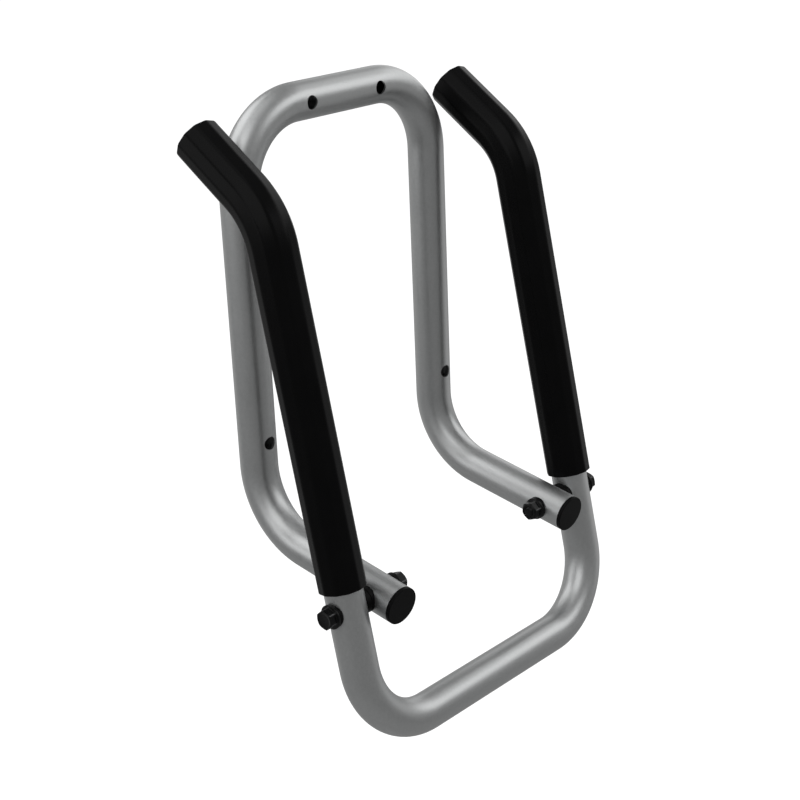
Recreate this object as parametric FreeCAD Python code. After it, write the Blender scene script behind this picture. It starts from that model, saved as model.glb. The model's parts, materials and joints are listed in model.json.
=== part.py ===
import FreeCAD, Part
import math
import os

# Wall storage hanger of bent round tube, in millimetres.
# +Z is up, +X is to the right and +Y points into the wall, whose face is the plane Y = 0.
# The origin lies on that plane, midway between the two upper screw holes.
# A fixed wall frame carries a U-shaped swing frame on two pivot bolts.
# The swing frame is drawn folded up, with its sleeved arms leaning back to the wall.

Vector = FreeCAD.Vector
RIGHT = Vector(1, 0, 0)
LEFT = Vector(-1, 0, 0)
INTO_WALL = Vector(0, 1, 0)
UP = Vector(0, 0, 1)
ORIGIN = Vector(0, 0, 0)

# Tube stock of both frames
tube_diameter = 28.0
tube_wall = 1.5
bend_radius = 56.0            # centreline radius of every bend

# Wall frame
leg_spacing = 194.0           # between the centrelines of the two uprights
upright_length = 256.5        # from the top bar's centreline to the start of the lower bends
leg_turn = 79.5               # degrees that the lower bends turn the uprights forwards
leg_length = 91.5             # straight tube from the lower bend to its cut end
screw_hole_diameter = 10.0
upper_hole_spacing = 70.0
lower_hole_rise = 19.5        # from the start of the lower bends up to the lower screw holes

# Swing frame
pivot_setback = 20.0          # from the leg's cut end back to the pivot's axis
arm_above_pivot = 252.5       # from the pivot to the start of the arm's upper bend
arm_below_pivot = 101.5       # from the pivot to the bottom bar's centreline
arm_turn = 44.0               # degrees that the upper bends turn the tips back
tip_length = 51.0             # straight tube from the upper bend to its cut end
tip_wall_gap = 2.3            # between the folded arms' tips and the wall

# Soft sleeves on the arms
sleeve_thickness = 3.3
sleeve_fit = 0.1              # between the tube and the sleeve's bore
sleeve_chamfer = 0.8
sleeve_saddle_gap = 5.7       # between the sleeve's lower end and the saddles' rims
sleeve_leg_gap = 0.3          # between the sleeve and the leg that it swings past

# Plugs in the four tube ends
plug_flange = 3.0             # thickness of the disc that shows
plug_chamfer = 0.7
plug_bolt_gap = 4.0           # between the plug's inner end and the pivot bolt
plug_shell = 2.0
plug_fin_count = 3
plug_fin_depth = 1.4          # how far the gripping fins stand out
plug_fin_width = 1.6
plug_fit = 0.1                # between the fins and the tube's bore

# Pivot bolts and lock nuts, flanged hexagons
bolt_diameter = 8.0
bolt_stand_out = 0.4          # bolt end beyond its nut
bolt_end_chamfer = 1.0
hexagon_width = 13.0          # across flats
hexagon_bevel = 0.6           # height of the bevel at the hexagon's corners
flange_edge = 1.6             # thickness of both flanges at their rims
flange_height = 1.9           # where a flange's cone meets the flats
bolt_flange_diameter = 17.8
bolt_head_height = 7.7
bolt_turn = 18.0              # degrees that the head's corners are turned about the bolt
nut_flange_diameter = 17.0
nut_hexagon_height = 8.3
nut_height = 9.0
nut_turn = 39.0               # degrees that the nut's corners are turned about the bolt
nut_ring_wall = 1.1           # nylon ring around the bolt
nut_ring_height = 2.4
nut_collar_wall = 0.65        # thin collar around the ring
nut_rim = 0.5                 # collar standing above the ring
thread_fit = 0.05             # between the bolt, its nut and the ring
leg_hole_fit = 0.1            # between the bolt and the holes in the legs
pivot_clearance = 0.05        # between the bolt and the holes that turn on it

# Saddle washers between the round tubes and the flat faces of the pivot
inner_saddle_inset = 4.5      # from the tube's flanks in to the rims of the washers between the tubes
outer_saddle_diameter = 17.0  # washers under head and nut
outer_saddle_crown = 0.8      # least thickness of the washers under head and nut
saddle_chamfer = 0.6
saddle_lift = 0.9             # from the depth of a full hollow up to the washer's lowest edge
saddle_fit = 0.05             # between the washer and its tube
pivot_face_gap = 0.1          # between flat faces that turn on each other

# Sizes that follow from those above
tube_radius = tube_diameter / 2
bore_radius = tube_radius - tube_wall
bolt_radius = bolt_diameter / 2
sleeve_bore_radius = tube_radius + sleeve_fit
sleeve_radius = sleeve_bore_radius + sleeve_thickness
inner_saddle_radius = tube_radius - inner_saddle_inset
outer_saddle_radius = outer_saddle_diameter / 2
saddle_seat_radius = tube_radius + saddle_fit
leg_x = leg_spacing / 2
leg_arm_gap = sleeve_radius - tube_radius + sleeve_leg_gap
arm_x = leg_x + tube_diameter + leg_arm_gap
inner_saddle_stack = (leg_arm_gap - pivot_face_gap) / 2
outer_saddle_stack = outer_saddle_crown + saddle_fit


def leaning(degrees):
    """Unit vector that leans back from straight up by this angle."""
    return Vector(0, math.sin(math.radians(degrees)), math.cos(math.radians(degrees)))


def trim(turn):
    """Length that a bend of this turn, in degrees, takes from each run at its corner."""
    return bend_radius * math.tan(math.radians(turn) / 2)


# Right-hand corners of the wall frame's centreline
upper_corner = Vector(leg_x, -tube_radius, 0)
lower_corner = upper_corner - UP * (upright_length + trim(leg_turn))
leg_direction = -leaning(leg_turn)
leg_end = lower_corner + leg_direction * (trim(leg_turn) + leg_length)
pivot = leg_end - leg_direction * pivot_setback


def folded_lean():
    """Angle at which the sleeve's tip stands at its gap from the wall."""
    turn = math.radians(arm_turn)
    arm = arm_above_pivot + trim(arm_turn)
    tip = trim(arm_turn) + tip_length + plug_flange
    along = arm + tip * math.cos(turn) - sleeve_radius * math.sin(turn)
    across = tip * math.sin(turn) + sleeve_radius * math.cos(turn)
    reach = -tip_wall_gap - pivot.y
    return math.degrees(math.asin(reach / math.hypot(along, across)) - math.atan2(across, along))


# Right-hand corners of the swing frame's centreline
arm_lean = folded_lean()
arm_direction = leaning(arm_lean)
tip_direction = leaning(arm_lean + arm_turn)
arm_pivot = Vector(arm_x, pivot.y, pivot.z)
bottom_corner = arm_pivot - arm_direction * arm_below_pivot
bend_corner = arm_pivot + arm_direction * (arm_above_pivot + trim(arm_turn))
tip_end = bend_corner + tip_direction * (trim(arm_turn) + tip_length)

# Faces of the right-hand pivot along X, from its nut out to its head
nut_face_x = leg_x - tube_radius - outer_saddle_stack
leg_face_x = leg_x + tube_radius + inner_saddle_stack
arm_face_x = leg_face_x + pivot_face_gap
outer_face_x = arm_x + tube_radius + outer_saddle_stack
head_face_x = outer_face_x + pivot_face_gap


def mirrored(point):
    """The same point on the left side."""
    return Vector(-point.x, point.y, point.z)


def on_pivot(x):
    """Point of the pivot's axis at this X."""
    return Vector(x, pivot.y, pivot.z)


def bent_path(points):
    """Wire of straight runs through the points, joined by tangent arcs of the bend radius."""
    edges = []
    start = points[0]
    for before, corner, after in zip(points, points[1:], points[2:]):
        back = (before - corner).normalize()
        ahead = (after - corner).normalize()
        half_turn = (math.pi - back.getAngle(ahead)) / 2
        inward = (back + ahead).normalize()
        centre = corner + inward * (bend_radius / math.cos(half_turn))
        arc_start = corner + back * (bend_radius * math.tan(half_turn))
        arc_end = corner + ahead * (bend_radius * math.tan(half_turn))
        edges.append(Part.LineSegment(start, arc_start).toShape())
        edges.append(Part.Arc(arc_start, centre - inward * bend_radius, arc_end).toShape())
        start = arc_end
    edges.append(Part.LineSegment(start, points[-1]).toShape())
    return Part.Wire(edges)


def bent_rod(points, radius):
    """Solid round rod along a bent path."""
    section = Part.Wire(Part.makeCircle(radius, points[0], points[1] - points[0]))
    return bent_path(points).makePipeShell([section], True, False)


def bent_tube(points, outer_radius, inner_radius):
    """Round tube along a bent path, open at both ends."""
    return bent_rod(points, outer_radius).cut(bent_rod(points, inner_radius))


def drill(tube, point, axis, diameter):
    """The tube with a hole through both its walls at a point on its centreline."""
    start = point - axis * tube_diameter
    return tube.cut(Part.makeCylinder(diameter / 2, 2 * tube_diameter, start, axis))


def turned(profile, start, axis):
    """Solid of revolution from (distance along the axis, radius) points."""
    points = [Vector(radius, 0, along) for along, radius in profile]
    face = Part.Face(Part.makePolygon(points + points[:1]))
    solid = face.revolve(ORIGIN, UP, 360)
    solid.Placement = FreeCAD.Placement(start, FreeCAD.Rotation(UP, axis))
    return solid


def wall_frame_tube():
    """Upright loop whose lower ends turn forwards as two legs, with its screw and pivot holes."""
    right = [leg_end, lower_corner, upper_corner]
    left = [mirrored(point) for point in reversed(right)]
    tube = bent_tube(right + left, tube_radius, bore_radius)
    upper_hole = Vector(upper_hole_spacing / 2, -tube_radius, 0)
    lower_hole = Vector(leg_x, -tube_radius, lower_hole_rise - upright_length)
    for hole in (upper_hole, mirrored(upper_hole), lower_hole, mirrored(lower_hole)):
        tube = drill(tube, hole, INTO_WALL, screw_hole_diameter)
    for hole in (pivot, mirrored(pivot)):
        tube = drill(tube, hole, RIGHT, bolt_diameter + 2 * leg_hole_fit)
    return tube


def swing_frame_tube():
    """U-shaped tube with its two arms bent back at the top, drilled to turn on the bolts."""
    right = [tip_end, bend_corner, bottom_corner]
    left = [mirrored(point) for point in reversed(right)]
    tube = bent_tube(right + left, tube_radius, bore_radius)
    for hole in (arm_pivot, mirrored(arm_pivot)):
        tube = drill(tube, hole, RIGHT, bolt_diameter + 2 * pivot_clearance)
    return tube


def arm_sleeve():
    """Soft sleeve that covers one arm from above the pivot to the face of its end plug."""
    lower_end = arm_pivot + arm_direction * (inner_saddle_radius + sleeve_saddle_gap)
    upper_end = tip_end + tip_direction * plug_flange
    sleeve = bent_tube([lower_end, bend_corner, upper_end], sleeve_radius, sleeve_bore_radius)
    rims = []
    for edge in sleeve.Edges:
        end_distance = min((edge.CenterOfMass - end).Length for end in (lower_end, upper_end))
        middle_length = math.pi * (sleeve_radius + sleeve_bore_radius)
        if end_distance < sleeve_thickness and edge.Length > middle_length:
            rims.append(edge)
    return sleeve.makeChamfer(sleeve_chamfer, rims)


def end_plug(cut_end, outward):
    """Moulded cup with gripping fins that closes a tube, its disc as wide as the tube."""
    depth = pivot_setback - bolt_radius - plug_bolt_gap
    pitch = depth / plug_fin_count
    fin_radius = bore_radius - plug_fit
    core_radius = fin_radius - plug_fin_depth
    hollow_radius = core_radius - plug_shell
    profile = [(plug_flange, 0), (plug_flange, tube_radius - plug_chamfer)]
    profile += [(plug_flange - plug_chamfer, tube_radius), (0, tube_radius), (0, core_radius)]
    for number in range(plug_fin_count):
        inner = -pitch * (number + 0.5) - plug_fin_width / 2
        outer = inner + plug_fin_width
        profile += [(outer, core_radius), (outer, fin_radius), (inner, core_radius)]
    profile += [(-depth, core_radius), (-depth, hollow_radius), (0, hollow_radius), (0, 0)]
    return turned(profile, cut_end, outward)


def hexagon(height, turn):
    """Hexagonal prism along +X from the origin, with the corners of its far end bevelled."""
    corner_radius = hexagon_width / math.sqrt(3)
    corners = []
    for number in range(7):
        angle = math.radians(60 * number + turn)
        corners.append(Vector(0, corner_radius * math.cos(angle), corner_radius * math.sin(angle)))
    prism = Part.Face(Part.makePolygon(corners)).extrude(RIGHT * height)
    bevel_radius = corner_radius - hexagon_bevel * math.sqrt(3)
    blank = [(0, 0), (0, corner_radius), (height - hexagon_bevel, corner_radius)]
    blank += [(height, bevel_radius), (height, 0)]
    return prism.common(turned(blank, ORIGIN, RIGHT))


def flanged_hexagon(height, flange_diameter, turn):
    """Hexagon on a coned flange, along +X from the flange's bearing face at the origin."""
    flange_radius = flange_diameter / 2
    profile = [(0, 0), (0, flange_radius), (flange_edge, flange_radius)]
    profile += [(flange_height, hexagon_width / 2), (flange_height, 0)]
    return turned(profile, ORIGIN, RIGHT).fuse(hexagon(height, turn))


def pivot_bolt():
    """Flanged hexagon bolt through arm and leg, its head on the outside."""
    length = head_face_x - nut_face_x + nut_height + bolt_stand_out
    shank = [(0, 0), (0, bolt_radius), (length - bolt_end_chamfer, bolt_radius)]
    shank += [(length, bolt_radius - bolt_end_chamfer), (length, 0)]
    head = flanged_hexagon(bolt_head_height, bolt_flange_diameter, bolt_turn)
    bolt = head.fuse(turned(shank, ORIGIN, LEFT)).removeSplitter()
    bolt.translate(on_pivot(head_face_x))
    return bolt


def lock_nut():
    """Flanged hexagon nut on the inside of the leg, with a collar around its nylon ring."""
    thread_radius = bolt_radius + thread_fit
    ring_seat_radius = thread_radius + nut_ring_wall + thread_fit
    collar_radius = ring_seat_radius + nut_collar_wall
    ring_seat = nut_height - nut_rim - nut_ring_height
    collar = [(0, 0), (0, collar_radius), (nut_height, collar_radius), (nut_height, 0)]
    bore = [(0, 0), (0, thread_radius), (ring_seat, thread_radius), (ring_seat, ring_seat_radius)]
    bore += [(nut_height, ring_seat_radius), (nut_height, 0)]
    # The nut is turned end for end once it is made, which reverses its turn about the bolt.
    blank = flanged_hexagon(nut_hexagon_height, nut_flange_diameter, -nut_turn)
    nut = blank.fuse(turned(collar, ORIGIN, RIGHT)).removeSplitter()
    nut = nut.cut(turned(bore, ORIGIN, RIGHT))
    nut.rotate(ORIGIN, UP, 180)
    nut.translate(on_pivot(nut_face_x))
    return nut


def nut_ring():
    """Nylon ring that grips the bolt inside the lock nut's collar."""
    hole_radius = bolt_radius + thread_fit
    ring_radius = hole_radius + nut_ring_wall
    top = nut_height - nut_rim
    bottom = top - nut_ring_height
    profile = [(bottom, hole_radius), (bottom, ring_radius), (top, ring_radius), (top, hole_radius)]
    return turned(profile, on_pivot(nut_face_x), LEFT)


def saddle(flat_x, tube_x, tube_direction, rim_radius, hole_fit):
    """Washer that is flat on one face and hollowed on the other to sit on a tube."""
    towards_tube = RIGHT if tube_x > flat_x else LEFT
    full_depth = abs(tube_x - flat_x) - math.sqrt(saddle_seat_radius ** 2 - rim_radius ** 2)
    height = full_depth - saddle_lift
    hole_radius = bolt_radius + hole_fit
    profile = [(0, hole_radius), (0, rim_radius - saddle_chamfer), (saddle_chamfer, rim_radius)]
    profile += [(height, rim_radius), (height, hole_radius)]
    washer = turned(profile, on_pivot(flat_x), towards_tube)
    seat_start = on_pivot(tube_x) - tube_direction * tube_diameter
    seat = Part.makeCylinder(saddle_seat_radius, 2 * tube_diameter, seat_start, tube_direction)
    return washer.cut(seat)


right_pieces = {
    "arm_sleeve": arm_sleeve(),
    "arm_end_plug": end_plug(tip_end, tip_direction),
    "leg_end_plug": end_plug(leg_end, leg_direction),
    "pivot_bolt": pivot_bolt(),
    "lock_nut": lock_nut(),
    "nut_ring": nut_ring(),
    "head_saddle": saddle(outer_face_x, arm_x, arm_direction, outer_saddle_radius, pivot_clearance),
    "arm_saddle": saddle(arm_face_x, arm_x, arm_direction, inner_saddle_radius, pivot_clearance),
    "leg_saddle": saddle(leg_face_x, leg_x, leg_direction, inner_saddle_radius, leg_hole_fit),
    "nut_saddle": saddle(nut_face_x, leg_x, leg_direction, outer_saddle_radius, leg_hole_fit),
}

pieces = {"wall_frame_tube": wall_frame_tube(), "swing_frame_tube": swing_frame_tube()}
for name, solid in right_pieces.items():
    pieces["right_" + name] = solid
    pieces["left_" + name] = solid.mirror(ORIGIN, RIGHT)

os.makedirs("parts", exist_ok=True)
for name, solid in pieces.items():
    solid.exportStep("parts/" + name + ".step")
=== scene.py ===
import json
import math

import bmesh
import bpy
from mathutils import Matrix, Vector

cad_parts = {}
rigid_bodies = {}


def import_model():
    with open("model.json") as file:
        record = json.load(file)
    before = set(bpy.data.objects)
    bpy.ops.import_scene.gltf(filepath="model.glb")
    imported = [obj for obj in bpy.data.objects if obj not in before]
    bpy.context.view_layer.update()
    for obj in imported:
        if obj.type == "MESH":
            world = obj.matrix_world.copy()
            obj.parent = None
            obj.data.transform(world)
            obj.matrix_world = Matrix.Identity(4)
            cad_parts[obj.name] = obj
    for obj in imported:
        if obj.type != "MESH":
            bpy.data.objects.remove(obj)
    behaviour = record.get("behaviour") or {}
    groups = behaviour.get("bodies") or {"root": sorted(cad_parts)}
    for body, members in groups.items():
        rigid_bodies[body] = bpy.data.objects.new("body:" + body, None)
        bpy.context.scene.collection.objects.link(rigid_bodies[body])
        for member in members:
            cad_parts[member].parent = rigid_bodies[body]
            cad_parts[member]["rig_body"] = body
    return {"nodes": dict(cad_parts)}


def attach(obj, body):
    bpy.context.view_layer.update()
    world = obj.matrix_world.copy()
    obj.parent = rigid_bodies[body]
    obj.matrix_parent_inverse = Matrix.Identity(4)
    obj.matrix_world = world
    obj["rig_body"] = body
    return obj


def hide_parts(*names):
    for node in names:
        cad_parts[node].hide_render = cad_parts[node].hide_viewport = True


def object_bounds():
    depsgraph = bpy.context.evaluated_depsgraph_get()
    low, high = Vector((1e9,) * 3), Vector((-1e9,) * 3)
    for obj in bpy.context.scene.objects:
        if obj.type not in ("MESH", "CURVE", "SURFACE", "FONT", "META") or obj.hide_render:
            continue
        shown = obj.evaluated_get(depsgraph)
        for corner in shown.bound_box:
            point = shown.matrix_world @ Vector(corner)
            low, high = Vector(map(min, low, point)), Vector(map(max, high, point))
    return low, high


# Wall storage hanger: the finished surfaces of its tubes, sleeves, plugs and pivots, and a plain studio.
# Metres throughout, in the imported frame: +Z up, +Y into the wall, whose face is the plane Y = 0.

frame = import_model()
cad_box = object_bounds()
scene = bpy.context.scene

MM = 0.001
RIGHT = Vector((1, 0, 0))
INTO_WALL = Vector((0, 1, 0))
UP = Vector((0, 0, 1))

# Tubes
tube_radius = 14 * MM
tube_wall = 1.5 * MM
tube_sides = 88
tube_ring_spacing = 3 * MM
bend_radius = 56 * MM
leg_x = 97 * MM
upright_length = 256.5 * MM      # top bar's centreline to the start of the lower bends
leg_turn = 79.5                  # degrees
leg_length = 91.5 * MM
pivot_setback = 20 * MM
arm_x = 128.7 * MM
arm_lean = 11.489                # degrees that the folded arms lean back to the wall
arm_above_pivot = 252.5 * MM     # pivot to the start of the upper bend
arm_below_pivot = 101.5 * MM     # pivot to the bottom bar's centreline
arm_turn = 44                    # degrees
tip_length = 51 * MM
screw_hole_radius = 5 * MM
upper_hole_x = 35 * MM
lower_hole_rise = 19.5 * MM      # start of the lower bends up to the lower screw holes

# Sleeves and plugs
sleeve_bore = 14.1 * MM
sleeve_thickness = 3.3 * MM
sleeve_edge = 0.8 * MM
sleeve_flats = 12
sleeve_flat_edge = 1.1 * MM      # how far the edges between its flats are blended
sleeve_sides_per_flat = 16
sleeve_ring_spacing = 4 * MM
sleeve_start = 15.2 * MM         # pivot to the sleeve's lower end
plug_flange = 3 * MM
plug_edge = 0.7 * MM
plug_depth = 12 * MM
plug_core = 11 * MM
plug_fin = 12.4 * MM
plug_fin_count = 3
plug_fin_half = 0.8 * MM         # half a fin's width at its root
plug_hollow = 9 * MM

# Turned pieces
round_sides = 96
pole_radius = 0.2 * MM           # of the small disc that closes a turned piece on its axis

# Pivot fasteners
bolt_radius = 4 * MM
bolt_length = 70.9 * MM          # under the head
bolt_chamfer = 1 * MM
bolt_thread = 20 * MM
thread_pitch = 1.25 * MM
thread_depth = 0.6 * MM
thread_rings = 150
thread_start = 0.02 * MM         # bolt end to the thread's first ring
hexagon_flat = 6.5 * MM          # centre to flat
hexagon_corner = 0.8 * MM        # radius of its rounded corners
hexagon_bevel = 0.6 * MM
hexagon_blend = 0.25 * MM        # softness of the bevel's edge
hexagon_rings = 44
wear_and_highlight_depth = 0.22 * MM           # from a corner in to where its wear and painted highlight end
flange_edge = 1.6 * MM
flange_height = 1.9 * MM
flange_blend = 0.4 * MM          # softness of its edge and of its fillet to the hexagon
flange_round = 0.3 * MM          # rounding under its edge
flange_lip = 0.08 * MM
head_flange_radius = 8.9 * MM
head_height = 7.7 * MM
head_dish = ((0.25, 0), (0.7, 0.05), (1.4, 0.35), (2.4, 0.5))  # mm in from the bevel, and mm down
head_dish_depth = 0.55 * MM
head_turn = 18                   # degrees
nut_flange_radius = 8.5 * MM
nut_hexagon_height = 8.3 * MM
nut_height = 9 * MM
nut_turn = 39                    # degrees
nut_rim = 0.5 * MM
nut_collar_round = 0.3 * MM
ring_hole = 4.05 * MM
ring_radius = 5.15 * MM
ring_height = 2.4 * MM
ring_edge = 0.35 * MM
collar_bore = 5.2 * MM
collar_radius = 5.85 * MM
pivot_hole_radius = 4.05 * MM
leg_hole_radius = 4.1 * MM

# Saddle washers
inner_saddle_radius = 9.5 * MM   # between leg and arm
outer_saddle_radius = 8.5 * MM   # under head and nut
inner_saddle_stack = 1.8 * MM    # flat face to the tube
outer_saddle_stack = 0.85 * MM
saddle_seat = 14.05 * MM
saddle_lift = 0.9 * MM           # how much shallower a washer is than a full hollow
saddle_edge = 0.6 * MM
saddle_soft = 0.3 * MM           # softness of its hollow's edge and of its hole
saddle_rim = 0.2 * MM            # between the wall and the hollow
saddle_lip = 0.06 * MM
face_gap = 0.1 * MM


def leaning(degrees):
    """Unit vector that leans back from straight up by this angle."""
    return Vector((0, math.sin(math.radians(degrees)), math.cos(math.radians(degrees))))


def trim(turn):
    """Length that a bend of this turn takes from each run at its corner."""
    return bend_radius * math.tan(math.radians(turn) / 2)


def mirrored(point):
    """The same point on the left side."""
    return Vector((-point.x, point.y, point.z))


# Right-hand corners of both tubes' centrelines
upper_corner = Vector((leg_x, -tube_radius, 0))
lower_corner = upper_corner - UP * (upright_length + trim(leg_turn))
leg_direction = -leaning(leg_turn)
leg_end = lower_corner + leg_direction * (trim(leg_turn) + leg_length)
pivot = leg_end - leg_direction * pivot_setback
arm_direction = leaning(arm_lean)
tip_direction = leaning(arm_lean + arm_turn)
arm_pivot = Vector((arm_x, pivot.y, pivot.z))
bottom_corner = arm_pivot - arm_direction * arm_below_pivot
bend_corner = arm_pivot + arm_direction * (arm_above_pivot + trim(arm_turn))
tip_end = bend_corner + tip_direction * (trim(arm_turn) + tip_length)


class Socket:
    """An output socket on which Python's operators add Math nodes."""

    def __init__(self, net, output):
        self.net = net
        self.output = output

    def also(self, name):
        """Another output of the same node."""
        return Socket(self.net, self.output.node.outputs[name])

    def math(self, operation, first, second):
        return self.net.node("ShaderNodeMath", {"operation": operation}, {0: first, 1: second})

    def __add__(self, other):
        return self.math("ADD", self, other)

    def __radd__(self, other):
        return self.math("ADD", other, self)

    def __sub__(self, other):
        return self.math("SUBTRACT", self, other)

    def __rsub__(self, other):
        return self.math("SUBTRACT", other, self)

    def __mul__(self, other):
        return self.math("MULTIPLY", self, other)

    def __rmul__(self, other):
        return self.math("MULTIPLY", other, self)

    def __truediv__(self, other):
        return self.math("DIVIDE", self, other)

    def __rtruediv__(self, other):
        return self.math("DIVIDE", other, self)

    def __gt__(self, other):
        return self.math("GREATER_THAN", self, other)

    def __lt__(self, other):
        return self.math("LESS_THAN", self, other)

    def or_more(self, other):
        return self.math("MAXIMUM", self, other)

    def __abs__(self):
        return self.math("ABSOLUTE", self, 0)

    def fraction(self):
        return self.math("FRACT", self, 0)

    def cosine(self):
        return self.math("COSINE", self, 0)


class Net:
    """A node tree that is being wired."""

    def __init__(self, tree):
        self.tree = tree
        tree.nodes.clear()

    def node(self, kind, settings=None, sockets=None, output=0):
        """Adds a node, sets it up, fills its sockets and returns one of its outputs."""
        made = self.tree.nodes.new(kind)
        for name, value in (settings or {}).items():
            setattr(made, name, value)
        for key, value in (sockets or {}).items():
            for part in value if isinstance(value, list) else [value]:
                if isinstance(part, Socket):
                    self.tree.links.new(part.output, made.inputs[key])
                else:
                    made.inputs[key].default_value = part
        return Socket(self, made.outputs[output]) if made.outputs else None


# Finishes

def noise(net, place, scale, detail=2.0, roughness=0.5):
    """Soft random pattern from 0 to 1, its grain about 1 / scale metres."""
    sockets = {"Vector": place, "Scale": scale, "Detail": detail, "Roughness": roughness}
    return net.node("ShaderNodeTexNoise", None, sockets)


def between(net, share, dark, light):
    """Colour that goes from dark to light with the share; a Mix node's colours are its inputs 6 and 7."""
    dark = dark if isinstance(dark, Socket) else (*dark, 1)
    light = light if isinstance(light, Socket) else (*light, 1)
    return net.node("ShaderNodeMix", {"data_type": "RGBA"}, {0: share, 6: dark, 7: light}, 2)


def finish(name, wire):
    """Material whose Principled sockets come from a function of its net and Object coordinates."""
    material = bpy.data.materials.new(name)
    material.use_nodes = True
    net = Net(material.node_tree)
    place = net.node("ShaderNodeTexCoord", output="Object")
    surface = net.node("ShaderNodeBsdfPrincipled", None, wire(net, place))
    net.node("ShaderNodeOutputMaterial", None, {"Surface": surface})
    return material


def satin_silver(net, place):
    """Silver coat on tube: fine bright grain, faint mottling and clouds, and a satin sheen."""
    grain = noise(net, place, 2600)
    mottle = noise(net, place, 420, 2.0, 0.6)
    cloud = noise(net, place, 24, 3.0)
    shade = grain * 0.4 + mottle * 0.35 + cloud * 0.25
    bump = net.node("ShaderNodeBump", None, {"Strength": 0.12, "Distance": 0.00003, "Height": grain})
    return {
        "Base Color": between(net, shade, (0.3, 0.306, 0.3065), (0.504, 0.512, 0.513)),
        "Metallic": 0.95,
        "Roughness": cloud * 0.1 + mottle * 0.12 + grain * 0.06 + 0.24,
        "Normal": bump,
    }


def sleeve_rubber(net, place):
    """Black extruded rubber: almost smooth, with a fine skin and faint handling marks."""
    skin = noise(net, place, 1900, 3.0)
    marks = noise(net, place, 45, 4.0, 0.6)
    bump = net.node("ShaderNodeBump", None, {"Strength": 0.15, "Distance": 0.00005, "Height": skin})
    return {
        "Base Color": between(net, marks, (0.0012, 0.0012, 0.0013), (0.0024, 0.0024, 0.0025)),
        "Roughness": marks * 0.16 + skin * 0.08 + 0.16,
        "Specular IOR Level": 0.064,
        "Normal": bump,
    }


def moulded_plastic(net, place):
    """Black moulded plastic with the fine grain of its tool."""
    grain = noise(net, place, 3200, 2.0)
    flow = noise(net, place, 120, 3.0)
    shade = flow * 0.6 + grain * 0.4
    bump = net.node("ShaderNodeBump", None, {"Strength": 0.25, "Distance": 0.00005, "Height": grain})
    return {
        "Base Color": between(net, shade, (0.0018, 0.0018, 0.0019), (0.0031, 0.0031, 0.0032)),
        "Roughness": flow * 0.12 + grain * 0.1 + 0.34,
        "Specular IOR Level": 0.056,
        "Normal": bump,
    }


def black_steel(net, place):
    """Black plated steel: a little metallic, with a fine uneven plating that is worn along its corners,
    where a lighter, more metallic colour is both wear and a painted highlight.
    """
    grain = noise(net, place, 2200, 3.0)
    blotch = noise(net, place, 260, 3.0)
    # Lighter, more metallic hexagon corners: partly wear of the plating, partly a painted highlight along
    # the edges.
    corner = net.node("ShaderNodeAttribute", {"attribute_name": "wear_and_highlight"}, None, "Fac")
    worn_and_highlit = corner * (blotch * 0.8 + 0.6)
    plating = between(net, blotch, (0.0035, 0.0035, 0.0037), (0.008, 0.008, 0.0083))
    bump = net.node("ShaderNodeBump", None, {"Strength": 0.2, "Distance": 0.00004, "Height": grain})
    return {
        "Base Color": between(net, worn_and_highlit, plating, (0.08, 0.08, 0.082)),
        "Metallic": worn_and_highlit * 0.5 + 0.25,
        "Roughness": blotch * 0.12 + grain * 0.06 + 0.17,
        "Specular IOR Level": 0.13,
        "Normal": bump,
    }


def dark_nylon(net, place):
    """Dark nylon of the lock nuts' rings."""
    flow = noise(net, place, 700, 3.0)
    return {
        "Base Color": between(net, flow, (0.004, 0.004, 0.0043), (0.008, 0.008, 0.0084)),
        "Roughness": flow * 0.15 + 0.32,
        "Specular IOR Level": 0.144,
    }


materials = {
    "silver_tube": finish("satin_silver", satin_silver),
    "sleeve_rubber": finish("sleeve_rubber", sleeve_rubber),
    "plug_plastic": finish("plug_plastic", moulded_plastic),
    "saddle_plastic": finish("saddle_plastic", moulded_plastic),
    "black_steel": finish("black_steel", black_steel),
    "nylon": finish("dark_nylon", dark_nylon),
}


# Tubes, bent and drilled by Geometry Nodes

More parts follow.
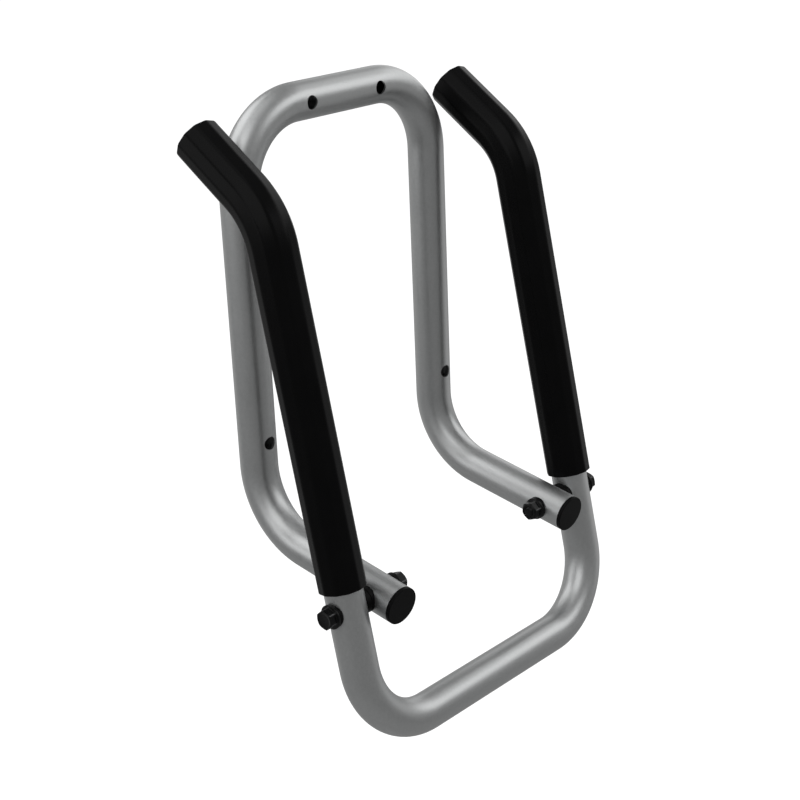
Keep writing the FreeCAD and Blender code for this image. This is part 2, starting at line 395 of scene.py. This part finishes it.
def bent_tube_tree():
    """Tube along a line of corner points, bent at each, and drilled at the points that have a hole radius.

    It is round outside, or has a number of flats with rounded edges between them.
    """
    tree = bpy.data.node_groups.new("bent_tube", "GeometryNodeTree")
    net = Net(tree)
    sizes = (
        ("Geometry", "NodeSocketGeometry"),
        ("Bend Radius", "NodeSocketFloat"),
        ("Bore Radius", "NodeSocketFloat"),
        ("Wall", "NodeSocketFloat"),
        ("Ring Spacing", "NodeSocketFloat"),
        ("Sides", "NodeSocketInt"),
        ("Flats", "NodeSocketInt"),
        ("Flat Edge", "NodeSocketFloat"),
        ("Material", "NodeSocketMaterial"),
    )
    for name, kind in sizes:
        tree.interface.new_socket(name, in_out="INPUT", socket_type=kind)
    tree.interface.new_socket("Geometry", in_out="OUTPUT", socket_type="NodeSocketGeometry")
    given = net.node("NodeGroupInput")

    def attribute(name, kind):
        return net.node("GeometryNodeInputNamedAttribute", {"data_type": kind}, {"Name": name})

    drill_radius = attribute("hole_radius", "FLOAT")
    drill_axis = attribute("hole_axis", "FLOAT_VECTOR")
    holes = net.node(
        "GeometryNodeSeparateGeometry",
        None,
        {"Geometry": given, "Selection": drill_radius > 0},
    )
    line = net.node("GeometryNodeMeshToCurve", None, {"Mesh": holes.also("Inverted")})
    bent = net.node(
        "GeometryNodeFilletCurve",
        {"mode": "POLY"},
        {"Curve": line, "Count": 60, "Radius": given.also("Bend Radius")},
    )
    path = net.node(
        "GeometryNodeResampleCurve",
        {"mode": "LENGTH"},
        {"Curve": bent, "Length": given.also("Ring Spacing")},
    )
    bored = given.also("Bore Radius")
    section = net.node(
        "GeometryNodeCurvePrimitiveCircle",
        None,
        {"Resolution": given.also("Sides"), "Radius": bored},
    )
    flats = given.also("Flats")
    flat_turn = 2 * math.pi / flats
    off_middle = abs((net.node("GeometryNodeInputIndex") / given.also("Sides") * flats).fraction() - 0.5)
    to_flat = (bored + given.also("Wall")) * (flat_turn * 0.5).cosine()
    this_flat = to_flat / (off_middle * flat_turn).cosine()
    next_flat = to_flat / ((1 - off_middle) * flat_turn).cosine()
    outline = net.node(
        "ShaderNodeMath",
        {"operation": "SMOOTH_MIN"},
        {0: this_flat, 1: next_flat, 2: given.also("Flat Edge")},
    )
    thickness = net.node(
        "GeometryNodeSwitch",
        {"input_type": "FLOAT"},
        {"Switch": flats > 0, "False": given.also("Wall"), "True": outline - bored},
    )
    marked = net.node(
        "GeometryNodeStoreNamedAttribute",
        {"data_type": "FLOAT", "domain": "POINT"},
        {"Geometry": section, "Name": "thickness", "Value": thickness},
    )
    bore = net.node("GeometryNodeCurveToMesh", None, {"Curve": path, "Profile Curve": marked})
    outside = net.node(
        "GeometryNodeExtrudeMesh",
        {"mode": "FACES"},
        {"Mesh": bore, "Offset Scale": attribute("thickness", "FLOAT"), "Individual": False},
    )
    inside = net.node("GeometryNodeFlipFaces", None, {"Mesh": bore})
    both = net.node("GeometryNodeJoinGeometry", None, {"Geometry": [outside, inside]})
    tube = net.node("GeometryNodeMergeByDistance", None, {"Geometry": both, "Distance": 0.00001})

    drill = net.node("GeometryNodeMeshCylinder", None, {"Vertices": 64, "Radius": 1.0, "Depth": 0.06})
    turn = net.node("FunctionNodeAlignRotationToVector", {"axis": "Z"}, {"Vector": drill_axis})
    width = net.node(
        "ShaderNodeCombineXYZ",
        None,
        {"X": drill_radius, "Y": drill_radius, "Z": 1.0},
    )
    drills = net.node(
        "GeometryNodeInstanceOnPoints",
        None,
        {"Points": holes, "Instance": drill, "Rotation": turn, "Scale": width},
    )
    cutters = net.node("GeometryNodeRealizeInstances", None, {"Geometry": drills})
    drilled = net.node(
        "GeometryNodeMeshBoolean",
        {"operation": "DIFFERENCE", "solver": "EXACT"},
        {"Mesh 1": tube, "Mesh 2": cutters},
    )
    edge_angle = net.node("GeometryNodeInputMeshEdgeAngle")
    soft = net.node("GeometryNodeSetShadeSmooth", {"domain": "FACE"}, {"Geometry": drilled})
    shaded = net.node(
        "GeometryNodeSetShadeSmooth",
        {"domain": "EDGE"},
        {"Geometry": soft, "Shade Smooth": edge_angle < math.radians(35)},
    )
    whole = net.node("GeometryNodeRealizeInstances", None, {"Geometry": shaded})
    painted = net.node(
        "GeometryNodeSetMaterial",
        None,
        {"Geometry": whole, "Material": given.also("Material")},
    )
    net.node("NodeGroupOutput", None, {"Geometry": painted})
    return tree


bent_tube = bent_tube_tree()


def grown(name, mesh, tree, sizes):
    """Plain mesh object that a Geometry Nodes tree makes from a mesh."""
    seed = bpy.data.objects.new(name + "_seed", mesh)
    scene.collection.objects.link(seed)
    modifier = seed.modifiers.new("grow", "NODES")
    modifier.node_group = tree
    for item in tree.interface.items_tree:
        if item.in_out == "INPUT" and item.name in sizes:
            modifier[item.identifier] = sizes[item.name]
    view = bpy.context.evaluated_depsgraph_get()
    made = bpy.data.meshes.new_from_object(seed.evaluated_get(view), depsgraph=view)
    bpy.data.objects.remove(seed)
    bpy.data.meshes.remove(mesh)
    return shown(name, made)


def shown(name, mesh):
    """Object for a finished mesh, at the origin."""
    mesh.name = name
    piece = bpy.data.objects.new(name, mesh)
    scene.collection.objects.link(piece)
    return piece


def path_mesh(name, corners, holes=()):
    """Line through the corners, and a loose point with a radius and an axis for each hole."""
    mesh = bpy.data.meshes.new(name)
    points = list(corners) + [place for place, axis, radius in holes]
    mesh.from_pydata(points, [(i, i + 1) for i in range(len(corners) - 1)], [])
    radius_of = mesh.attributes.new("hole_radius", "FLOAT", "POINT")
    axis_of = mesh.attributes.new("hole_axis", "FLOAT_VECTOR", "POINT")
    for number, (place, axis, radius) in enumerate(holes, len(corners)):
        radius_of.data[number].value = radius
        axis_of.data[number].vector = axis
    return mesh


def dress(piece, node, slot):
    """Puts a piece on its node's body, in the node's place, with its slot's finish."""
    if not piece.data.materials:
        piece.data.materials.append(materials[slot])
    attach(piece, frame["nodes"][node]["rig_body"])
    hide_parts(node)


def tube_piece(node, corners, holes, bore, wall, spacing, sides, slot, flats=0):
    """Bent tube in place of a CAD node."""
    sizes = {
        "Bend Radius": bend_radius,
        "Bore Radius": bore,
        "Wall": wall,
        "Ring Spacing": spacing,
        "Sides": sides,
        "Flats": flats,
        "Flat Edge": sleeve_flat_edge,
        "Material": materials[slot],
    }
    return grown(node + "_finished", path_mesh(node + "_path", corners, holes), bent_tube, sizes)


def add_tubes():
    """Both bent tubes, with their screw and pivot holes."""
    bore = tube_radius - tube_wall
    right = [leg_end, lower_corner, upper_corner]
    upper_hole = Vector((upper_hole_x, -tube_radius, 0))
    lower_hole = Vector((leg_x, -tube_radius, lower_hole_rise - upright_length))
    holes = []
    for place in (upper_hole, lower_hole):
        holes += [(spot, INTO_WALL, screw_hole_radius) for spot in (place, mirrored(place))]
    holes += [(spot, RIGHT, leg_hole_radius) for spot in (pivot, mirrored(pivot))]
    corners = right + [mirrored(corner) for corner in reversed(right)]
    piece = tube_piece(
        "wall_frame_tube", corners, holes, bore, tube_wall, tube_ring_spacing, tube_sides, "silver_tube"
    )
    dress(piece, "wall_frame_tube", "silver_tube")

    right = [tip_end, bend_corner, bottom_corner]
    holes = [(spot, RIGHT, pivot_hole_radius) for spot in (arm_pivot, mirrored(arm_pivot))]
    corners = right + [mirrored(corner) for corner in reversed(right)]
    piece = tube_piece(
        "swing_frame_tube", corners, holes, bore, tube_wall, tube_ring_spacing, tube_sides, "silver_tube"
    )
    dress(piece, "swing_frame_tube", "silver_tube")


def add_sleeves():
    """Soft sleeves with twelve flats and rounded ends on both arms."""
    start = arm_pivot + arm_direction * sleeve_start
    end = tip_end + tip_direction * plug_flange
    sides = sleeve_sides_per_flat * sleeve_flats
    for side in ("right", "left"):
        corners = [start, bend_corner, end]
        if side == "left":
            corners = [mirrored(corner) for corner in corners]
        node = side + "_arm_sleeve"
        piece = tube_piece(
            node,
            corners,
            [],
            sleeve_bore,
            sleeve_thickness,
            sleeve_ring_spacing,
            sides,
            "sleeve_rubber",
            sleeve_flats,
        )
        bevel = piece.modifiers.new("rounded_ends", "BEVEL")
        bevel.width = sleeve_edge
        bevel.segments = 4
        bevel.limit_method = "ANGLE"
        bevel.angle_limit = math.radians(50)
        dress(piece, node, "sleeve_rubber")


# Turned and hexagonal pieces, each made along its own axis and then set in place

def soft_least(first, second, blend):
    """Smaller of two lengths, rounded over where they meet."""
    overlap = max(blend - abs(first - second), 0) / blend
    return min(first, second) - overlap * overlap * blend / 4


def soft_most(first, second, blend):
    """Larger of two lengths, with a fillet where they meet."""
    return -soft_least(-first, -second, blend)


def evenly(sides):
    """Angles round a circle."""
    return [2 * math.pi * number / sides for number in range(sides)]


def round_hexagon():
    """Angles round a hexagon that has a corner at angle 0, close together where its corners turn."""
    near = [0.8 * step for step in range(-5, 6)]
    along = [4 + 52 * step / 16 for step in range(1, 16)]
    return [math.radians(60 * corner + offset) for corner in range(6) for offset in near + along]


def spun(name, rings, angles, closed=False):
    """Mesh of rings round +Z: each ring is a function of the angle that gives (radius, height)."""
    mesh = bpy.data.meshes.new(name)
    work = bmesh.new()
    sides = len(angles)
    rows = []
    for ring in rings:
        row = []
        for angle in angles:
            radius, height = ring(angle)
            row.append(work.verts.new((radius * math.cos(angle), radius * math.sin(angle), height)))
        rows.append(row)
    pairs = list(zip(rows, rows[1:]))
    if closed:
        pairs.append((rows[-1], rows[0]))
    for lower, upper in pairs:
        for number in range(sides):
            after = (number + 1) % sides
            work.faces.new((lower[number], lower[after], upper[after], upper[number]))
    if not closed:
        work.faces.new(list(reversed(rows[0])))
        work.faces.new(rows[-1])
    bmesh.ops.recalc_face_normals(work, faces=work.faces)
    work.to_mesh(mesh)
    work.free()
    mesh.shade_smooth()
    return mesh


def level(radius, height):
    """A plain round ring."""
    return lambda angle: (radius, height)


def rounded(profile, reach, steps=5):
    """Profile of (radius, height) points with each inner corner rounded, as rings."""
    rings = [level(*profile[0])]
    for before, corner, after in zip(profile, profile[1:], profile[2:]):
        here = Vector(corner)
        back = Vector(before) - here
        ahead = Vector(after) - here
        size = min(reach, back.length * 0.45, ahead.length * 0.45)
        start = here + back.normalized() * size
        end = here + ahead.normalized() * size
        for step in range(steps + 1):
            share = step / steps
            point = start.lerp(here, share).lerp(here.lerp(end, share), share)
            rings.append(level(point.x, point.y))
    rings.append(level(*profile[-1]))
    return rings


def placed(mesh, start, axis, reference):
    """Object for a mesh made along +Z, set at a point with its axis and its +X side turned as given."""
    along = axis.normalized()
    side = (reference - along * reference.dot(along)).normalized()
    turn = Matrix((side, along.cross(side), along)).transposed().to_4x4()
    mesh.transform(Matrix.Translation(start) @ turn)
    piece = shown(mesh.name, mesh)
    weighted = piece.modifiers.new("flat_faces", "WEIGHTED_NORMAL")
    weighted.keep_sharp = True
    weighted.weight = 80
    return piece


def plug_mesh(name):
    """Moulded cup with gripping fins, its disc flush with the tube and softly rounded."""
    profile = [(pole_radius, plug_flange), (tube_radius, plug_flange), (tube_radius, 0), (plug_core, 0)]
    pitch = plug_depth / plug_fin_count
    for number in range(plug_fin_count):
        middle = -pitch * (number + 0.5)
        root = middle + plug_fin_half
        profile += [(plug_core, root), (plug_fin, root), (plug_core, middle - plug_fin_half)]
    profile += [(plug_core, -plug_depth), (plug_hollow, -plug_depth), (plug_hollow, 0), (pole_radius, 0)]
    return spun(name, rounded(profile, plug_edge), evenly(round_sides))


def hexagon(angle):
    """Distance from the centre to the side of a hexagon that has a rounded corner at angle 0."""
    half_side = math.pi / 6
    off_corner = abs((angle + half_side) % (2 * half_side) - half_side)
    straight = (hexagon_flat - hexagon_corner) * math.tan(half_side)
    if off_corner > half_side - math.atan(straight / hexagon_flat):
        return hexagon_flat / math.cos(half_side - off_corner)
    centre = (hexagon_flat - hexagon_corner) / math.cos(half_side)
    across = centre * math.sin(off_corner)
    return centre * math.cos(off_corner) + math.sqrt(hexagon_corner ** 2 - across ** 2)


def bevelled_top():
    """Radius at which the bevel of a hexagon's corners meets its top."""
    return hexagon_flat / math.cos(math.pi / 6) - hexagon_bevel * math.sqrt(3)


def flange(height, flange_radius):
    """Radius of a coned flange at a height above its bearing face."""
    slope = (flange_radius - hexagon_flat) / (flange_height - flange_edge)
    cone = flange_radius - (height - flange_edge) * slope
    return soft_least(flange_radius, cone, flange_blend)


def flanged_hexagon(height, flange_radius, collar=0.0):
    """Rings of a flanged hexagon up to a height, its corners bevelled at the top."""
    top_radius = bevelled_top()

    def ring(level_height):
        def radius(angle):
            bevel = top_radius + (height - level_height) * math.sqrt(3)
            body = max(soft_least(hexagon(angle), bevel, hexagon_blend), collar)
            return soft_most(body, flange(level_height, flange_radius), flange_blend), level_height
        return radius

    rings = [level(bolt_radius, 0), level(flange_radius - flange_round, 0)]
    rings.append(level(flange_radius - flange_lip, flange_lip))
    for step in range(1, hexagon_rings + 1):
        share = step / hexagon_rings
        rings.append(ring(flange_round + (height - flange_round) * share))
    return rings


def mark_wear_and_highlight(mesh, height):
    """Gives a hexagon's corners, up to its height, a mark of 1 for wear and a painted highlight, which
    fades out over the flats.
    """
    wear_and_highlight = mesh.attributes.new("wear_and_highlight", "FLOAT", "POINT")
    corner_radius = hexagon(0)
    for vertex, mark in zip(mesh.vertices, wear_and_highlight.data):
        across = vertex.co.to_2d().length
        if flange_height < vertex.co.z <= height:
            mark.value = min(max((across - corner_radius) / wear_and_highlight_depth + 1, 0), 1)
    return mesh


def bolt_mesh(name):
    """Flanged hexagon bolt: dished head at +Z, shank towards -Z with a thread at its end."""
    end = -bolt_length
    tip = bolt_radius - bolt_chamfer
    crowding = 1.6                   # brings the rings closer together towards the bolt's end
    rings = [level(pole_radius, end), level(tip - 0.3 * MM, end)]
    for step in range(thread_rings + 1):
        share = (step / thread_rings) ** crowding
        height = end + thread_start + (bolt_thread - thread_start) * share
        rings.append(thread_ring(height, end, tip))
    rings.append(level(bolt_radius, end + bolt_thread + thread_pitch))
    rings += flanged_hexagon(head_height, head_flange_radius)
    for inset, depth in head_dish:
        rings.append(level(bevelled_top() - inset * MM, head_height - depth * MM))
    rings.append(level(pole_radius, head_height - head_dish_depth))
    return mark_wear_and_highlight(spun(name, rings, round_hexagon()), head_height)


def thread_ring(height, end, tip):
    """One ring of the helical thread, cut back by the chamfer at the bolt's end."""
    def ring(angle):
        turn = (height / thread_pitch - angle / (2 * math.pi)) % 1
        flank = abs(turn - 0.5) * 2
        crest = bolt_radius - thread_depth * soft_least(max(1.25 * flank - 0.125, 0), 1, 0.2)
        chamfer = tip + (height - end)
        return soft_least(crest, chamfer, 0.1 * MM), height
    return ring


def nut_mesh(name):
    """Flanged hexagon lock nut with a thin collar, open where its ring and the bolt end show."""
    rings = flanged_hexagon(nut_hexagon_height, nut_flange_radius, collar_radius)
    rings[0] = level(ring_hole, 0)
    shoulder = nut_height - nut_collar_round
    for height in (nut_hexagon_height + 0.2 * MM, shoulder):
        rings.append(level(collar_radius, height))
    for step in range(1, 6):
        angle = math.pi / 2 * step / 5
        radius = collar_radius - nut_collar_round * (1 - math.cos(angle))
        rings.append(level(radius, shoulder + nut_collar_round * math.sin(angle)))
    rings.append(level(collar_bore + 0.1 * MM, nut_height - 0.03 * MM))
    rings.append(level(collar_bore, nut_height - 0.15 * MM))
    seat = nut_height - nut_rim - ring_height
    rings.append(level(collar_bore, seat))
    rings.append(level(ring_hole, seat))
    return mark_wear_and_highlight(spun(name, rings, round_hexagon(), closed=True), nut_hexagon_height)


def nut_ring_mesh(name):
    """Nylon ring with rounded edges around the bolt."""
    top = nut_height - nut_rim
    bottom = top - ring_height
    profile = [(ring_hole, (top + bottom) / 2), (ring_hole, top), (ring_radius, top), (ring_radius, bottom)]
    profile += [(ring_hole, bottom), (ring_hole, (top + bottom) / 2)]
    return spun(name, rounded(profile, ring_edge)[:-1], evenly(round_sides), closed=True)


def saddle_mesh(name, saddle_radius, stack, hole_radius):
    """Washer along +Z from its flat face, hollowed to a tube that runs along X."""
    def hollow(across):
        return stack + tube_radius - math.sqrt(saddle_seat ** 2 - across ** 2)

    lowest_edge = hollow(saddle_radius) - saddle_lift

    def seat(radius):
        def ring(angle):
            return radius, soft_least(hollow(radius * math.sin(angle)), lowest_edge, saddle_soft)
        return ring

    def wall(share):
        edge = seat(saddle_radius)

        def ring(angle):
            lowest = edge(angle)[1] - saddle_rim
            return saddle_radius, saddle_edge + (lowest - saddle_edge) * share
        return ring

    def lip(angle):
        depth = seat(saddle_radius)(angle)[1]
        return saddle_radius - saddle_lip, depth - saddle_lip

    rings = [level(hole_radius, saddle_soft), level(hole_radius + 0.1 * MM, 0.08 * MM)]
    rings += [level(hole_radius + saddle_soft, 0), level(saddle_radius - saddle_edge - saddle_rim, 0)]
    for step in range(7):
        angle = math.pi / 2 * step / 6
        radius = saddle_radius - saddle_edge * (1 - math.sin(angle))
        rings.append(level(radius, saddle_edge * (1 - math.cos(angle))))
    rings += [wall(0.5), wall(1.0), lip]
    seat_radius = saddle_radius - saddle_rim
    for step in range(13):
        rings.append(seat(seat_radius - (seat_radius - hole_radius) * step / 12))
    return spun(name, rings, evenly(round_sides), closed=True)


def add_plugs():
    """Plugs in the two legs and the two arm tips."""
    ends = (("leg_end_plug", leg_end, leg_direction), ("arm_end_plug", tip_end, tip_direction))
    for side in ("right", "left"):
        for node, end, outward in ends:
            spot = end if side == "right" else mirrored(end)
            piece = placed(plug_mesh(side + "_" + node + "_finished"), spot, outward, RIGHT)
            dress(piece, side + "_" + node, "plug_plastic")


def clocked(turn):
    """Direction square to the pivot, turned by this angle from straight at the wall towards up."""
    return leaning(90 - turn)


def add_pivots():
    """Bolts, lock nuts, rings and saddle washers of both pivots."""
    nut_face = leg_x - tube_radius - outer_saddle_stack
    leg_face = leg_x + tube_radius + inner_saddle_stack
    arm_face = leg_face + face_gap
    outer_face = arm_x + tube_radius + outer_saddle_stack
    head_face = outer_face + face_gap
    inner = (inner_saddle_radius, inner_saddle_stack)
    outer = (outer_saddle_radius, outer_saddle_stack)
    for side, sign in (("right", 1), ("left", -1)):
        outward = RIGHT * sign

        def spot(x):
            return Vector((x * sign, pivot.y, pivot.z))

        washers = (
            ("nut_saddle", nut_face, outward, leg_direction, *outer, leg_hole_radius),
            ("leg_saddle", leg_face, -outward, leg_direction, *inner, leg_hole_radius),
            ("arm_saddle", arm_face, outward, arm_direction, *inner, pivot_hole_radius),
            ("head_saddle", outer_face, -outward, arm_direction, *outer, pivot_hole_radius),
        )
        for node, face, axis, along_tube, rim, stack, hole in washers:
            mesh = saddle_mesh(side + "_" + node + "_finished", rim, stack, hole)
            dress(placed(mesh, spot(face), axis, along_tube), side + "_" + node, "saddle_plastic")
        mesh = bolt_mesh(side + "_pivot_bolt_finished")
        bolt = placed(mesh, spot(head_face), outward, clocked(head_turn))
        dress(bolt, side + "_pivot_bolt", "black_steel")
        mesh = nut_mesh(side + "_lock_nut_finished")
        nut = placed(mesh, spot(nut_face), -outward, clocked(nut_turn))
        dress(nut, side + "_lock_nut", "black_steel")
        mesh = nut_ring_mesh(side + "_nut_ring_finished")
        ring = placed(mesh, spot(nut_face), -outward, INTO_WALL)
        dress(ring, side + "_nut_ring", "nylon")


add_tubes()
add_sleeves()
add_plugs()
add_pivots()


# Studio

surround = 0.385                 # brightness of its grey walls, as glossy surfaces show them


def shown_to_eye(net):
    """1 for rays that show the background: straight from the camera, mirrored or through glass."""
    path = net.node("ShaderNodeLightPath", output="Is Camera Ray")
    return path.or_more(path.also("Is Glossy Ray")).or_more(path.also("Is Transmission Ray"))


def add_world():
    """White background with a softer white light on matt surfaces."""
    ambient = 0.7
    world = bpy.data.worlds.new("studio")
    world.use_nodes = True
    net = Net(world.node_tree)
    strength = shown_to_eye(net) * (1 - ambient) + ambient
    light = net.node("ShaderNodeBackground", None, {"Color": (1, 1, 1, 1), "Strength": strength})
    net.node("ShaderNodeOutputWorld", None, {"Surface": light})
    scene.world = world


def add_floor():
    """Pale floor well below the hanger, white to the eye and still shaded by it."""
    drop = 1.4
    reach = 20.0
    paint_shade = 0.15
    paleness = 0.96
    mesh = bpy.data.meshes.new("floor")
    height = cad_box[0].z - drop
    corners = [(x * reach, y * reach, height) for x, y in ((-1, -1), (1, -1), (1, 1), (-1, 1))]
    mesh.from_pydata(corners, [], [(0, 1, 2, 3)])
    material = bpy.data.materials.new("pale_floor")
    material.use_nodes = True
    net = Net(material.node_tree)
    paint = net.node("ShaderNodeBsdfDiffuse", None, {"Color": (paint_shade, paint_shade, paint_shade, 1)})
    glow = net.node("ShaderNodeEmission", None, {"Strength": shown_to_eye(net) * paleness})
    both = net.node("ShaderNodeAddShader", None, {0: paint, 1: glow})
    net.node("ShaderNodeOutputMaterial", None, {"Surface": both})
    mesh.materials.append(material)
    shown("floor", mesh)


def direction(azimuth, elevation):
    """Unit vector from the hanger to a place round it: azimuth 0 is in front, 90 is to its right."""
    turn = math.radians(azimuth)
    rise = math.radians(elevation)
    return Vector((math.sin(turn) * math.cos(rise), -math.cos(turn) * math.cos(rise), math.sin(rise)))


def add_softbox(name, azimuth, elevation, wide, high, brightness, distance=6.0):
    """Rectangular soft light that faces the hanger, fills these degrees and has a surface this bright."""
    middle = (cad_box[0] + cad_box[1]) / 2
    out = direction(azimuth, elevation)
    light = bpy.data.lights.new(name, "AREA")
    light.shape = "RECTANGLE"
    light.size = 2 * distance * math.tan(math.radians(wide) / 2)
    light.size_y = 2 * distance * math.tan(math.radians(high) / 2)
    light.energy = brightness * math.pi * light.size * light.size_y
    lamp = bpy.data.objects.new(name, light)
    lamp.location = middle + out * distance
    lamp.rotation_euler = out.to_track_quat("Z", "Y").to_euler()
    lamp.visible_camera = False
    scene.collection.objects.link(lamp)


def patch(value, centre, flat, fade):
    """1 within a flat distance of the centre, falling smoothly to 0 over the fade."""
    beyond = min(max(abs(value - centre) - flat, 0) / fade, 1)
    return (1 + math.cos(math.pi * beyond)) / 2


def band_shade(azimuth, elevation):
    """Brightness of the near band: dim low down and most so in front, bright at the right, paler behind."""
    ring = 0.14 * patch(elevation, -20, 8, 10)
    left = 0.2 * patch(azimuth, -85, 15, 30) * patch(elevation, -21, 9, 10)
    front = 0.24 * patch(azimuth, -18, 42, 24) * patch(elevation, -14, 18, 10)
    low_right = 0.9 * patch(azimuth, 74, 14, 18) * patch(elevation, -14, 8, 10)
    rear = 172
    off_rear = (azimuth - rear + 180) % 360 - 180
    behind = 0.55 * patch(off_rear, 0, 22, 24) * patch(elevation, -20, 12, 14)
    return surround * (1 - max(ring, left, front) + low_right + behind)


def plain_shade(azimuth, elevation):
    """Brightness of the studio's far walls."""
    return surround


def add_shell(name, distance, elevations, shade_of, gaps_above):
    """Grey shell round the hanger, which only shows as soft shades in glossy surfaces.

    Above a given elevation it has gaps where it is as bright as what is behind it.
    """
    middle = (cad_box[0] + cad_box[1]) / 2
    azimuths = list(range(-180, 180, 4))
    corners = []
    shades = []
    for elevation in elevations:
        for azimuth in azimuths:
            corners.append(middle + direction(azimuth, elevation) * distance)
            shades.append(shade_of(azimuth, elevation))
    faces = []
    around = len(azimuths)
    for row in range(len(elevations) - 1):
        for number in range(around):
            after = (number + 1) % around
            face = [row * around + number, row * around + after]
            face += [(row + 1) * around + after, (row + 1) * around + number]
            contrast = min(abs(shades[corner] - surround) for corner in face)
            if contrast > 0.001 or elevations[row] < gaps_above:
                faces.append(face)
    mesh = bpy.data.meshes.new(name)
    mesh.from_pydata(corners, [], faces)
    mesh.attributes.new("shade", "FLOAT", "POINT").data.foreach_set("value", shades)
    material = bpy.data.materials.new(name)
    material.use_nodes = True
    net = Net(material.node_tree)
    shade = net.node("ShaderNodeAttribute", {"attribute_name": "shade"}, None, "Fac")
    card = net.node("ShaderNodeEmission", None, {"Strength": shade})
    net.node("ShaderNodeOutputMaterial", None, {"Surface": card})
    mesh.materials.append(material)
    shell = shown(name, mesh)
    shell.visible_camera = False
    shell.visible_diffuse = False
    shell.visible_shadow = False


def add_camera():
    """Camera at the photograph's viewing angle."""
    place = Vector((-0.8185, -0.8366, 0.1943))
    azimuth = -46.77
    elevation = 20.42
    roll = math.radians(-2.33)
    back = direction(azimuth, elevation)
    level_right = UP.cross(back).normalized()
    level_up = back.cross(level_right)
    right = level_right * math.cos(roll) + level_up * math.sin(roll)
    up = level_up * math.cos(roll) - level_right * math.sin(roll)
    camera = bpy.data.objects.new("camera", bpy.data.cameras.new("camera"))
    camera.data.sensor_width = 36.0
    camera.data.lens = 72.2
    camera.data.clip_start = 0.05
    camera.data.clip_end = 100.0
    turn = Matrix((right, up, back)).transposed().to_4x4()
    camera.matrix_world = Matrix.Translation(place) @ turn
    scene.collection.objects.link(camera)
    scene.camera = camera


add_world()
add_floor()
add_softbox("back_left_softbox", -160, 44, 58, 36, 1.58)
add_softbox("left_softbox", -117, 12, 58, 24, 1.2)
add_softbox("front_left_softbox", -70, 40, 40, 42, 1.42)
add_softbox("right_softbox", 40, 31, 48, 28, 1.52)
add_softbox("right_rear_softbox", 86, 32, 36, 34, 1.08)
add_softbox("back_right_softbox", 117, 16, 34, 30, 0.7)
add_softbox("top_softbox", -120, 77, 40, 40, 0.6)
add_shell("studio_band", 1.4, range(-88, 16, 2), band_shade, -8)
add_shell("studio_walls", 12.0, range(-10, 90, 2), plain_shade, 90)
add_camera()
scene.view_settings.view_transform = "Standard"
